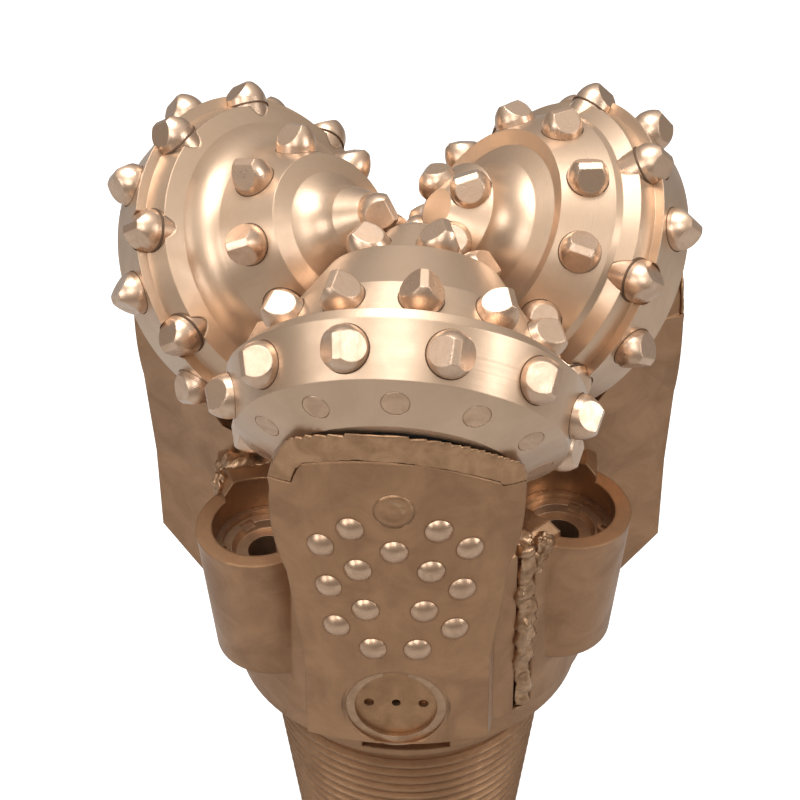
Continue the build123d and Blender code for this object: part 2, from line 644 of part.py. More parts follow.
def shirttail_button_places():
    """Alternating rows: pairs that close in towards the foot, with outer ones between."""
    places = []
    for n in range(BUTTON_ROWS):
        z = BUTTON_TOP_Z - n * BUTTON_ROW_STEP
        if n % 2:
            edge = BUTTON_EDGE - (n - 1) * BUTTON_TAPER * 0.5
            across = [-edge, edge] + ([0.0] if n == 1 else [])
        else:
            pair = BUTTON_WIDE - n * BUTTON_TAPER * 0.5
            across = [-pair, pair]
        places += [wall_place(x, z) for x in across]
    return places


def leg_forging():
    """Leg 1 with everything drilled and cut in it."""
    solid = (body_core() + shirttail() + nozzle_boss()) & sector()
    for other in range(LEG_COUNT):
        solid = solid - cone_place(other) * cone_clearance()
    solid = solid + cone_place(0) * journal()
    return solid - leg_cuts()


def leg_cuts():
    """All that is cut out of leg 1, each from the piece that goes there."""
    button_hole = hole(BUTTON_R, BUTTON_GRIP, BUTTON_R)
    mud_bore = Pos(0, 0, PLENUM_TOP_Z) * Cylinder(
        MUD_BORE_R, FAR, align=(Align.CENTER, Align.CENTER, Align.MAX))
    seams = [seam_weld(), Rot(0, 0, -LEG_PITCH) * seam_weld()]
    return ([mud_bore, nozzle_pocket(), reservoir_pocket(), grease_hole(), breaker_slot(),
             ball_bore(BALL_HOLE_R, -FAR / 4, BALL_HOLE_RUNOUT), hardfacing()]
            + seams + copies(button_hole, shirttail_button_places()))


def ball_plug():
    """Rod that fills the ball hole, its end turned to the race, welded at the wall."""
    bar = ball_bore(BALL_HOLE_R - SLIDE_FIT, PLUG_SETBACK, 0)
    keep = cone_place(0) * turned([(0, -FAR), (BALL_PITCH_R, -FAR), (BALL_PITCH_R, 0), (0, 0)])
    race = cone_place(0) * round_wire_ring(BALL_PITCH_R, RACE_GROOVE_R, -RACE_U)
    return (bar & keep) - race


def nozzle():
    """Jet nozzle: bell inlet, straight throat, wrench notches in its top face."""
    top = -NOZZLE_TOP_DEPTH
    outer = POCKET_R - SLIDE_FIT
    dish, dish_r = top - NOZZLE_DISH, NOZZLE_INLET_R - NOZZLE_DISH_TAPER
    bell = -POCKET_DEPTH * NOZZLE_BELL
    profile = Curve() + [
        Line((NOZZLE_INLET_R, -POCKET_DEPTH), (outer, -POCKET_DEPTH)),
        Line((outer, -POCKET_DEPTH), (outer, top)),
        Line((outer, top), (NOZZLE_INLET_R, top)),
        Line((NOZZLE_INLET_R, top), (dish_r, dish)),
        Line((dish_r, dish), (NOZZLE_THROAT_R, dish)),
        Line((NOZZLE_THROAT_R, dish), (NOZZLE_THROAT_R, bell)),
        ThreePointArc((NOZZLE_THROAT_R, bell),
                      (NOZZLE_THROAT_R * 1.22, -POCKET_DEPTH * 0.84),
                      (NOZZLE_INLET_R, -POCKET_DEPTH))]
    body = revolve(Plane.XZ * make_face(profile), Axis.Z)
    notch = Pos(0, 0, top) * Box(*NOTCH, NOZZLE_DISH)
    return body - [notch, Rot(0, 0, 90) * notch]


def nozzle_ring():
    """Open retaining ring with two drilled ears."""
    low = -NOZZLE_TOP_DEPTH + SLIDE_FIT / 2
    outer = POCKET_R + RING_SEAT - SLIDE_FIT
    inner = outer - RING_REACH
    body = ring(outer, inner, low, low + RING_WIRE)
    half = radians(RING_GAP / 2)
    mouth = [(0, 0), (FAR * sin(half), -FAR * cos(half)), (-FAR * sin(half), -FAR * cos(half))]
    wedge = extrude(make_face(Polyline(*mouth, close=True)), 2 + RING_WIRE)
    body = body - Pos(0, 0, low - 1) * wedge
    ears, holes = [], []
    for side in (-1, 1):
        turn = Rot(0, 0, side * (RING_GAP / 2 + EAR_ANGLE))
        ears.append(turn * Pos(0, -inner, low) * Cylinder(
            EAR_R, RING_WIRE, align=(Align.CENTER, Align.CENTER, Align.MIN)))
        holes.append(turn * Pos(0, -inner + EAR_HOLE_SHIFT, 0) * Cylinder(EAR_HOLE_R, FAR))
    return (body + ears) - holes


def nozzle_oring():
    seal_z = -(NOZZLE_TOP_DEPTH + POCKET_DEPTH) / 2
    return round_wire_ring(POCKET_R + ORING_R - SLIDE_FIT / 2, ORING_R - SLIDE_FIT / 2, seal_z)


def canister():
    """Thin cup behind the cap, open towards it, that holds the grease and its bellows."""
    radius = RESERVOIR_R - SLIDE_FIT
    top = -CAP_DEPTH - CAP_THICKNESS - SLIDE_FIT
    foot = top - CANISTER_LENGTH
    return reservoir_place() * turned([
        (GREASE_HOLE_R, foot), (radius, foot), (radius, top), (radius - CANISTER_WALL, top),
        (radius - CANISTER_WALL, foot + CANISTER_WALL), (GREASE_HOLE_R, foot + CANISTER_WALL)])


def diaphragm():
    """Rubber cup inside the canister that keeps the grease at mud pressure."""
    radius = RESERVOIR_R - SLIDE_FIT - CANISTER_WALL - DIAPHRAGM_GAP
    top = -CAP_DEPTH - CAP_THICKNESS - 3 * SLIDE_FIT
    foot = top - CANISTER_LENGTH * DIAPHRAGM_SHARE
    flat, inner, floor = radius * DIAPHRAGM_BASE, radius - DIAPHRAGM_WALL, foot + DIAPHRAGM_WALL
    return reservoir_place() * turned([
        (0, foot), (flat, foot), (radius, foot + DIAPHRAGM_SLOPE), (radius, top), (inner, top),
        (inner, foot + DIAPHRAGM_SLOPE + 1), (flat, floor), (0, floor)])


def reservoir_cap():
    """Disc that shuts the reservoir, with a breather hole and two spanner holes."""
    radius = RESERVOIR_R + CAP_STEP - SLIDE_FIT
    body = Pos(0, 0, -CAP_DEPTH) * Cylinder(
        radius, CAP_THICKNESS, align=(Align.CENTER, Align.CENTER, Align.MAX))
    body = body - Cylinder(BREATHER_R, FAR)
    for side in (-1, 1):
        body = body - Pos(side * radius * SPANNER_SPREAD, 0, -CAP_DEPTH - SPANNER_HOLE_DEPTH) * Cylinder(
            SPANNER_HOLE_R, FAR, align=(Align.CENTER, Align.CENTER, Align.MIN))
    return reservoir_place() * body


def cap_ring():
    """Spring ring in front of the reservoir cap."""
    low = -CAP_DEPTH + SLIDE_FIT / 2
    outer = RESERVOIR_R + CAP_GROOVE - SLIDE_FIT
    body = ring(outer, outer - CAP_RING_REACH, low, low + CAP_RING - SLIDE_FIT)
    mouth = Pos(0, RESERVOIR_R, 0) * Box(CAP_RING_MOUTH, CAP_RING_MOUTH, FAR)
    return reservoir_place() * (body - mouth)


# ================================================================ the whole bit
def leg_pieces():
    """The sub-parts that every leg carries, for leg 1."""
    return {
        "leg": leg_forging(),
        "seam_weld": seam_weld(),
        "shirttail_hardfacing": hardfacing(),
        "shirttail_buttons": group(copies(domed_button(), shirttail_button_places())),
        "ball_plug": ball_plug(),
        "grease_canister": canister(),
        "grease_diaphragm": diaphragm(),
        "reservoir_cap": reservoir_cap(),
        "nozzle": nozzle_place(0) * nozzle(),
    }


def cone_pieces(form):
    """The sub-parts that turn with a cone, in the cone frame."""
    pieces = {
        "cone": cone_shell(form),
        "back_buttons": group(copies(flush_button(), bevel_places(form.rows[0]))),
        "journal_bush": journal_bush(),
        "thrust_washer": thrust_washer(),
        "journal_seal": journal_seal(),
        "lock_balls": group(lock_balls()),
    }
    for row in form.rows:
        pieces[f"{row.name}_inserts"] = group(row_inserts(row))
    if form.nose_insert:
        pieces["spear_insert"] = nose_insert(form)
    return pieces


def build():
    """Every sub-part by its name."""
    parts = {}
    carried = leg_pieces()
    for index, form in enumerate(CONES):
        for name, piece in carried.items():
            parts[f"{name}_{index + 1}"] = leg_place(index) * piece
        for name, piece in cone_pieces(form).items():
            parts[f"{name}_{index + 1}"] = cone_place(index) * piece
    everywhere = range(LEG_COUNT)
    parts["nozzle_rings"] = group(nozzle_place(n) * nozzle_ring() for n in everywhere)
    parts["nozzle_seal_rings"] = group(nozzle_place(n) * nozzle_oring() for n in everywhere)
    parts["reservoir_cap_rings"] = group(leg_place(n) * cap_ring() for n in everywhere)
    return parts


def main():
    os.makedirs("parts", exist_ok=True)
    for name, part in build().items():
        export_step(part, f"parts/{name}.step")


main()
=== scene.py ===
"""Dresses the three-cone rock bit: paint, welds, hardfacing, painted shade lines at the insert
seats, pin thread and studio.
"""
import json
import logging
import math
from collections.abc import Sequence
from dataclasses import dataclass, field
from enum import Enum

import bmesh
import bpy
from mathutils import Euler, Matrix, Vector, noise


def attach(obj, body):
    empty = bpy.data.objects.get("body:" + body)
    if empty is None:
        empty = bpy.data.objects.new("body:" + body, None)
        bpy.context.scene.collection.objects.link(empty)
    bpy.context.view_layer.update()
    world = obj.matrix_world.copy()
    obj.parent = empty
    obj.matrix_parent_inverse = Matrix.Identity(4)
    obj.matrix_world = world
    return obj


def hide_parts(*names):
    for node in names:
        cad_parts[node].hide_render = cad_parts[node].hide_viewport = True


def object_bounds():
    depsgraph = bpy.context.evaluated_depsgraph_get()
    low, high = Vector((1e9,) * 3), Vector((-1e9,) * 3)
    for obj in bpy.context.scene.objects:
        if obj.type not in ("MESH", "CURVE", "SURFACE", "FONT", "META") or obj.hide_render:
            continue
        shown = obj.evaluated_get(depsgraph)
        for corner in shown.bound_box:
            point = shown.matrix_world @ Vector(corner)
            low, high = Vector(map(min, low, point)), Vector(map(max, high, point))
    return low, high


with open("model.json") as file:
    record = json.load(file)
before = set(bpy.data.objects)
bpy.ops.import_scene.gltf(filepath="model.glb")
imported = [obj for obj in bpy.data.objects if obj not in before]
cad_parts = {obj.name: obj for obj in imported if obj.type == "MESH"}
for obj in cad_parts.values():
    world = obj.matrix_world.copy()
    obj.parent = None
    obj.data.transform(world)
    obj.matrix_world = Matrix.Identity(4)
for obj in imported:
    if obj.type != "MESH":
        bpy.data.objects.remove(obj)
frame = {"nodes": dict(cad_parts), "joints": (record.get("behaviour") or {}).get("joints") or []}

logging.basicConfig(level=logging.INFO, format="%(message)s")
LOG = logging.getLogger("rock_bit")

CAD_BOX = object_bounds()
MM = 0.001
LEG_PITCH = 120.0
BODY = "bit_body"
ROTOR = "cone_{}_rotor"
TOOL_MARK_PITCH = 1.1 * MM
TOOL_MARK_DEPTH = 0.035 * MM
CRUST_SOFTENING = 0.4          # how far each point of a crust moves to its neighbours
MERGE = 1e-6                   # vertices closer than this, in metres, are one


# ---------------------------------------------------------------- finishes
@dataclass(frozen=True)
class Finish:
    """How one kind of surface looks.

    Args:
        name: Name of the material.
        colour: Paint or metal colour where it is freshest, linear.
        worn: Colour of the thin or dusty patches, linear.
        metallic: Metallic value of the shader.
        roughness: Lowest roughness.
        spread: How much rougher the dull patches are.
        patch: Size of the patches, in metres.
        grain: Size of the surface grain, in metres.
        relief: Height of the grain, in metres.
        rounding: Radius by which sharp edges are softened, in metres.
        lacquer: Weight of the clear, colourless film over the colour.
    """

    name: str
    colour: tuple[float, float, float]
    worn: tuple[float, float, float]
    metallic: float = 0.9
    roughness: float = 0.34
    spread: float = 0.12
    patch: float = 0.02
    grain: float = 0.0012
    relief: float = 0.00005
    rounding: float = 0.0004
    lacquer: float = 0.0


class Coat(Enum):
    """The finishes of the bit's own surfaces."""

    CONE = Finish("cone_paint", (0.66, 0.47, 0.32), (0.56, 0.385, 0.255), metallic=0.80,
                  roughness=0.30, spread=0.12, patch=0.030, grain=0.0016, relief=0.00002,
                  rounding=0.0006, lacquer=0.8)
    LEG = Finish("leg_paint", (0.43, 0.245, 0.13), (0.33, 0.182, 0.094), metallic=0.82,
                 roughness=0.34, spread=0.16, patch=0.018, grain=0.0022, relief=0.00012,
                 rounding=0.0012, lacquer=0.3)
    INSERT = Finish("insert_paint", (0.74, 0.53, 0.38), (0.62, 0.42, 0.28), metallic=0.88,
                    roughness=0.26, spread=0.12, patch=0.006, grain=0.0010, relief=0.00005,
                    rounding=0.0007, lacquer=0.8)
    BUTTON = Finish("button_paint", (0.66, 0.45, 0.30), (0.52, 0.34, 0.22), metallic=0.88,
                    roughness=0.26, spread=0.12, patch=0.006, grain=0.0010, relief=0.00003,
                    rounding=0.0004, lacquer=0.6)
    HARDFACE = Finish("hardfacing_crust", (0.52, 0.315, 0.18), (0.38, 0.22, 0.12), metallic=0.84,
                      roughness=0.28, spread=0.18, patch=0.008, grain=0.0014, relief=0.00012,
                      rounding=0.0004)
    WELD = Finish("weld_bead_paint", (0.58, 0.38, 0.235), (0.32, 0.185, 0.10), metallic=0.82,
                  roughness=0.22, spread=0.20, patch=0.007, grain=0.0018, relief=0.00018,
                  rounding=0.0002)
    # Painted shade: a dark ring colour stands in for the shade in the gap round each insert's
    # seat.
    SEAT = Finish("seat_shadow_line", (0.16, 0.095, 0.055), (0.11, 0.065, 0.04), metallic=0.5,
                  roughness=0.55, spread=0.10, patch=0.004, grain=0.0010, relief=0.00002,
                  rounding=0.0)
    NOZZLE = Finish("nozzle_face_paint", (0.58, 0.39, 0.25), (0.42, 0.27, 0.17), metallic=0.85,
                    roughness=0.30, spread=0.16, patch=0.008, grain=0.0012, relief=0.00006,
                    rounding=0.0004)
    RING = Finish("ring_paint", (0.50, 0.33, 0.21), (0.38, 0.24, 0.15), metallic=0.88,
                  roughness=0.26, spread=0.12, patch=0.005, grain=0.0008, relief=0.00002,
                  rounding=0.0002)
    CAP = Finish("cap_paint", (0.43, 0.25, 0.135), (0.33, 0.19, 0.10), metallic=0.85,
                 roughness=0.34, spread=0.14, patch=0.008, grain=0.0012, relief=0.00006,
                 rounding=0.0004)
    SHEET = Finish("canister_steel_plain", (0.50, 0.50, 0.51), (0.42, 0.42, 0.43), metallic=1.0,
                   roughness=0.32, spread=0.10, patch=0.010, grain=0.0008, relief=0.00001,
                   rounding=0.0)
    BRONZE = Finish("bush_bronze", (0.58, 0.38, 0.17), (0.47, 0.30, 0.13), metallic=1.0,
                    roughness=0.28, spread=0.10, patch=0.010, grain=0.0008, relief=0.00001,
                    rounding=0.0)
    BALL = Finish("ball_steel_polished", (0.72, 0.72, 0.74), (0.66, 0.66, 0.68), metallic=1.0,
                  roughness=0.10, spread=0.05, patch=0.010, grain=0.0008, relief=0.000004,
                  rounding=0.0)
    RUBBER = Finish("seal_rubber", (0.022, 0.022, 0.022), (0.035, 0.034, 0.033), metallic=0.0,
                    roughness=0.55, spread=0.15, patch=0.006, grain=0.0006, relief=0.00003,
                    rounding=0.0)


class EffectGroups:
    """Shader node groups that several materials share."""

    def __init__(self) -> None:
        """Builds each group once."""
        self.patches = self._patches()
        self.grain = self._grain()
        self.turning = self._turning()

    @staticmethod
    def _new(name: str, inputs: dict[str, str], outputs: dict[str, str]) -> bpy.types.NodeTree:
        """Makes an empty group with its sockets.

        Args:
            name: Name of the group.
            inputs: Socket name to socket type.
            outputs: Socket name to socket type.

        Returns:
            The node tree, with one input and one output node.
        """
        tree = bpy.data.node_groups.new(name, "ShaderNodeTree")
        for label, kind in inputs.items():
            tree.interface.new_socket(name=label, in_out="INPUT", socket_type=kind)
        for label, kind in outputs.items():
            tree.interface.new_socket(name=label, in_out="OUTPUT", socket_type=kind)
        tree.nodes.new("NodeGroupInput").name = "in"
        tree.nodes.new("NodeGroupOutput").name = "out"
        return tree

    @staticmethod
    def _per_size(tree: bpy.types.NodeTree) -> bpy.types.NodeSocket:
        """Turns the group's Size into a noise scale.

        Args:
            tree: A group with a Size input.

        Returns:
            The socket that gives one over the size.
        """
        density = tree.nodes.new("ShaderNodeMath")
        density.operation = "DIVIDE"
        density.inputs[0].default_value = 1.0
        tree.links.new(tree.nodes["in"].outputs["Size"], density.inputs[1])
        return density.outputs[0]

    def _patches(self) -> bpy.types.NodeTree:
        """Soft irregular patches: thin paint, dust and handling marks, from 0 to 1.

        Returns:
            The group.
        """
        tree = self._new("dull_patches",
                         {"Vector": "NodeSocketVector", "Size": "NodeSocketFloat"},
                         {"Mask": "NodeSocketFloat"})
        nodes, links = tree.nodes, tree.links
        density = self._per_size(tree)
        cloud = nodes.new("ShaderNodeTexNoise")
        cloud.inputs["Detail"].default_value = 6.0
        cloud.inputs["Roughness"].default_value = 0.62
        cloud.inputs["Distortion"].default_value = 0.6
        links.new(nodes["in"].outputs["Vector"], cloud.inputs["Vector"])
        links.new(density, cloud.inputs["Scale"])
        level = nodes.new("ShaderNodeMapRange")
        level.inputs["From Min"].default_value = 0.36
        level.inputs["From Max"].default_value = 0.66
        links.new(cloud.outputs["Fac"], level.inputs["Value"])
        links.new(level.outputs["Result"], nodes["out"].inputs["Mask"])
        return tree

    def _grain(self) -> bpy.types.NodeTree:
        """Fine skin of sprayed paint over cast or ground metal, as a height from 0 to 1.

        Returns:
            The group.
        """
        tree = self._new("sprayed_grain",
                         {"Vector": "NodeSocketVector", "Size": "NodeSocketFloat"},
                         {"Height": "NodeSocketFloat"})
        nodes, links = tree.nodes, tree.links
        density = self._per_size(tree)
        fine = nodes.new("ShaderNodeTexNoise")
        fine.inputs["Detail"].default_value = 4.0
        fine.inputs["Roughness"].default_value = 0.55
        links.new(nodes["in"].outputs["Vector"], fine.inputs["Vector"])
        links.new(density, fine.inputs["Scale"])
        links.new(fine.outputs["Fac"], nodes["out"].inputs["Height"])
        return tree

    def _turning(self) -> bpy.types.NodeTree:
        """Fine tool marks that run round an axis, as a height from 0 to 1.

        Returns:
            The group.
        """
        tree = self._new("turning_marks",
                         {"Vector": "NodeSocketVector", "Pitch": "NodeSocketFloat"},
                         {"Height": "NodeSocketFloat"})
        nodes, links = tree.nodes, tree.links
        split = nodes.new("ShaderNodeSeparateXYZ")
        links.new(nodes["in"].outputs["Vector"], split.inputs[0])
        flat = nodes.new("ShaderNodeCombineXYZ")
        links.new(split.outputs["X"], flat.inputs["X"])
        links.new(split.outputs["Y"], flat.inputs["Y"])
        radius = nodes.new("ShaderNodeVectorMath")
        radius.operation = "LENGTH"
        links.new(flat.outputs[0], radius.inputs[0])
        along = nodes.new("ShaderNodeMath")
        along.operation = "SUBTRACT"
        links.new(radius.outputs["Value"], along.inputs[0])
        links.new(split.outputs["Z"], along.inputs[1])
        turns = nodes.new("ShaderNodeMath")
        turns.operation = "DIVIDE"
        links.new(along.outputs[0], turns.inputs[0])
        links.new(nodes["in"].outputs["Pitch"], turns.inputs[1])
        marks = nodes.new("ShaderNodeTexNoise")
        marks.noise_dimensions = "1D"
        marks.inputs["Scale"].default_value = 1.0
        marks.inputs["Detail"].default_value = 3.0
        marks.inputs["Roughness"].default_value = 0.7
        links.new(turns.outputs[0], marks.inputs["W"])
        links.new(marks.outputs["Fac"], nodes["out"].inputs["Height"])
        return tree


class PaintShop:
    """Makes the materials from the finishes and puts them on pieces."""

    def __init__(self) -> None:
        """Builds the shared groups."""
        self.groups = EffectGroups()
        self.made: dict[str, bpy.types.Material] = {}

    @staticmethod
    def _effect(material: bpy.types.Material, tree: bpy.types.NodeTree,
                place: bpy.types.NodeSocket, setting: str, value: float) -> bpy.types.Node:
        """Places a shared group in a material.

        Args:
            material: The material.
            tree: The group.
            place: Socket with the coordinates that the group reads.
            setting: Name of the group's other input.
            value: Value of that input.

        Returns:
            The group's node.
        """
        node = material.node_tree.nodes.new("ShaderNodeGroup")
        node.node_tree = tree
        node.inputs[setting].default_value = value
        material.node_tree.links.new(place, node.inputs["Vector"])
        return node

    @staticmethod
    def _bump(material: bpy.types.Material, height: bpy.types.NodeSocket,
              distance: float) -> bpy.types.Node:
        """Adds a bump node.

        Args:
            material: The material.
            height: Socket with the height from 0 to 1.
            distance: Height of the relief, in metres.

        Returns:
            The bump node.
        """
        node = material.node_tree.nodes.new("ShaderNodeBump")
        node.inputs["Strength"].default_value = 1.0
        node.inputs["Distance"].default_value = distance
        material.node_tree.links.new(height, node.inputs["Height"])
        return node

    def _paint(self, material: bpy.types.Material, finish: Finish,
               place: bpy.types.NodeSocket) -> None:
        """Colours a material and makes its worn patches duller.

        Args:
            material: The material.
            finish: The finish that it shows.
            place: Socket with the piece's own coordinates.
        """
        nodes, links = material.node_tree.nodes, material.node_tree.links
        shader = nodes["Principled BSDF"]
        shader.inputs["Metallic"].default_value = finish.metallic
        shader.inputs["Coat Weight"].default_value = finish.lacquer
        shader.inputs["Coat Roughness"].default_value = finish.roughness
        patches = self._effect(material, self.groups.patches, place, "Size", finish.patch)
        colour = nodes.new("ShaderNodeMix")
        colour.data_type = "RGBA"
        colour.inputs["A"].default_value = (*finish.colour, 1.0)
        colour.inputs["B"].default_value = (*finish.worn, 1.0)
        links.new(patches.outputs["Mask"], colour.inputs["Factor"])
        links.new(colour.outputs["Result"], shader.inputs["Base Color"])
        gloss = nodes.new("ShaderNodeMapRange")
        gloss.inputs["To Min"].default_value = finish.roughness
        gloss.inputs["To Max"].default_value = finish.roughness + finish.spread
        links.new(patches.outputs["Mask"], gloss.inputs["Value"])
        links.new(gloss.outputs["Result"], shader.inputs["Roughness"])

    def _skin(self, material: bpy.types.Material, finish: Finish,
              place: bpy.types.NodeSocket) -> bpy.types.Node:
        """Adds the grain of the surface and softens its edges.

        Args:
            material: The material.
            finish: The finish that it shows.
            place: Socket with the piece's own coordinates.

        Returns:
            The bump node of the grain.
        """
        grain = self._effect(material, self.groups.grain, place, "Size", finish.grain)
        skin = self._bump(material, grain.outputs["Height"], finish.relief)
        if finish.rounding:
            edge = material.node_tree.nodes.new("ShaderNodeBevel")
            edge.samples = 4
            edge.inputs["Radius"].default_value = finish.rounding
            material.node_tree.links.new(edge.outputs["Normal"], skin.inputs["Normal"])
        return skin

    def _tool_marks(self, material: bpy.types.Material, lathe: Matrix,
                    place: bpy.types.NodeSocket) -> bpy.types.Node:
        """Adds the marks that a lathe leaves.

        Args:
            material: The material.
            lathe: Frame whose Z axis the marks run round.
            place: Socket with the piece's own coordinates.

        Returns:
            The bump node of the marks.
        """
        mapping = material.node_tree.nodes.new("ShaderNodeMapping")
        back = lathe.inverted()
        mapping.inputs["Location"].default_value = back.to_translation()
        mapping.inputs["Rotation"].default_value = back.to_euler("XYZ")
        material.node_tree.links.new(place, mapping.inputs["Vector"])
        marks = self._effect(material, self.groups.turning, mapping.outputs["Vector"], "Pitch",
                             TOOL_MARK_PITCH)
        return self._bump(material, marks.outputs["Height"], TOOL_MARK_DEPTH)

    def material(self, coat: Coat, lathe: Matrix | None = None,
                 mark: str = "") -> bpy.types.Material:
        """Returns the material of a finish, made once.

        Args:
            coat: The finish.
            lathe: Frame whose Z axis the tool marks run round, or None for no marks.
            mark: Added to the name of a material with tool marks.

        Returns:
            The material.
        """
        finish = coat.value
        name = finish.name + mark
        if name in self.made:
            return self.made[name]
        material = bpy.data.materials.new(name)
        material.use_nodes = True
        nodes, links = material.node_tree.nodes, material.node_tree.links
        place = nodes.new("ShaderNodeTexCoord").outputs["Object"]
        self._paint(material, finish, place)
        relief = self._skin(material, finish, place)
        if lathe is not None:
            cuts = self._tool_marks(material, lathe, place)
            links.new(relief.outputs["Normal"], cuts.inputs["Normal"])
            relief = cuts
        links.new(relief.outputs["Normal"], nodes["Principled BSDF"].inputs["Normal"])
        self.made[name] = material
        return material

    @staticmethod
    def coat(piece: bpy.types.Object, material: bpy.types.Material) -> None:
        """Puts a material in every slot of a piece.

        Args:
            piece: The piece.
            material: Its material.
        """
        if not piece.material_slots:
            piece.data.materials.append(material)
        for slot in piece.material_slots:
            slot.material = material


# ---------------------------------------------------------------- mesh helpers
def new_piece(name: str, shape: bmesh.types.BMesh, body: str,
              smooth: bool = True) -> bpy.types.Object:
    """Turns a bmesh into a piece that rides on a body.

    Args:
        name: Name of the piece.
        shape: Its mesh, in the bit's own frame. It is freed here.
        body: Body that carries it.
        smooth: Whether its faces are shaded smooth.

    Returns:
        The new object.
    """
    bmesh.ops.remove_doubles(shape, verts=shape.verts, dist=MERGE)
    bmesh.ops.recalc_face_normals(shape, faces=shape.faces)
    mesh = bpy.data.meshes.new(name)
    shape.to_mesh(mesh)
    shape.free()
    for polygon in mesh.polygons:
        polygon.use_smooth = smooth
    piece = bpy.data.objects.new(name, mesh)
    bpy.context.scene.collection.objects.link(piece)
    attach(piece, body)
    LOG.info("made %s: %d faces, on %s", name, len(mesh.polygons), body)
    return piece


def lathe_turned(profile: Sequence[tuple[float, float]], steps: int) -> bmesh.types.BMesh:
    """Spins a (radius, height) profile, in millimetres, round Z.

    Args:
        profile: Points from the first to the last, in order.
        steps: Number of steps in the full turn.

    Returns:
        The turned shape.
    """
    shape = bmesh.new()
    points = [shape.verts.new((r * MM, 0.0, z * MM)) for r, z in profile]
    edges = [shape.edges.new(pair) for pair in zip(points, points[1:])]
    bmesh.ops.spin(shape, geom=points + edges, cent=(0, 0, 0), axis=(0, 0, 1),
                   angle=math.tau, steps=steps, use_merge=True)
    bmesh.ops.remove_doubles(shape, verts=shape.verts, dist=MERGE)
    return shape


def add_copy(target: bmesh.types.BMesh, stamp: bpy.types.Mesh) -> list[bmesh.types.BMVert]:
    """Adds a copy of a mesh to a bmesh.

    Args:
        target: The bmesh that grows.
        stamp: The mesh that is copied.

    Returns:
        The vertices of the copy.
    """
    known = len(target.verts)
    target.from_mesh(stamp)
    target.verts.ensure_lookup_table()
    return target.verts[known:]


def crusted(node: str, voxel: float,
            ripples: tuple[tuple[float, float], ...]) -> bmesh.types.BMesh:
    """Copies a CAD node and gives its skin an uneven, melted relief.

    Args:
        node: Name of the CAD node.
        voxel: Size of the even mesh that replaces its triangles, in metres.
        ripples: Pairs of lump size and lump height, in metres.

    Returns:
        The uneven shape.
    """
    source = bpy.data.objects.new("crust_source", frame["nodes"][node].data.copy())
    bpy.context.scene.collection.objects.link(source)
    merged = bmesh.new()
    merged.from_mesh(source.data)
    bmesh.ops.remove_doubles(merged, verts=merged.verts, dist=MERGE)
    merged.to_mesh(source.data)
    merged.free()
    even = source.modifiers.new("even", "REMESH")
    even.mode = "VOXEL"
    even.voxel_size = voxel
    graph = bpy.context.evaluated_depsgraph_get()
    mesh = bpy.data.meshes.new_from_object(source.evaluated_get(graph))
    bpy.data.objects.remove(source)
    shape = bmesh.new()
    shape.from_mesh(mesh)
    bpy.data.meshes.remove(mesh)
    shape.normal_update()
    for size, height in ripples:
        for vertex in shape.verts:
            lump = noise.noise(vertex.co / size, noise_basis="PERLIN_ORIGINAL")
            vertex.co += vertex.normal * lump * height
        shape.normal_update()
    bmesh.ops.smooth_vert(shape, verts=shape.verts, factor=CRUST_SOFTENING)
    return shape


# ---------------------------------------------------------------- cones
@dataclass(frozen=True)
class InsertRow:
    """One ring of inserts, in millimetres and degrees.

    Args:
        count: Number of inserts.
        start: Angle of the first one about the journal.
        back: (u, r) of the land's edge towards the back of the cone.
        front: (u, r) of the land's edge towards the nose.
        share: Where between those edges the row stands.
        radius: Radius of an insert.
        lean: Added to the land's own normal, towards the back.
    """

    count: int
    start: float
    back: tuple[float, float]
    front: tuple[float, float]
    share: float = 0.5
    radius: float = 7.54
    lean: float = 0.0

    def places(self) -> list[tuple[Matrix, float]]:
        """Places the inserts of the row.

        Returns:
            The frame of each insert in the cone frame, and the radius at which it stands.
        """
        u = self.back[0] + (self.front[0] - self.back[0]) * self.share
        r = self.back[1] + (self.front[1] - self.back[1]) * self.share
        slope = math.atan2(self.back[1] - self.front[1], self.back[0] - self.front[0])
        tilt = math.pi / 2 - slope + math.radians(self.lean)
        found = []
        for step in range(self.count):
            turn = math.radians(self.start) + math.tau / self.count * step
            place = (Matrix.Rotation(turn, 4, "Z")
                     @ Matrix.Translation((r * MM, 0.0, -u * MM))
                     @ Matrix.Rotation(math.pi / 2, 4, "Z") @ Matrix.Rotation(tilt, 4, "X"))
            found.append((place, r * MM))
        return found


OUTER_INSERT_R = 7.94
HEEL = {"back": (91.4, 56.9), "front": (72.1, 62.4), "radius": OUTER_INSERT_R}
STEP_FOOT = (71.9, 58.2)
GAUGE = {"share": 0.2, "radius": OUTER_INSERT_R, "lean": 14.0}


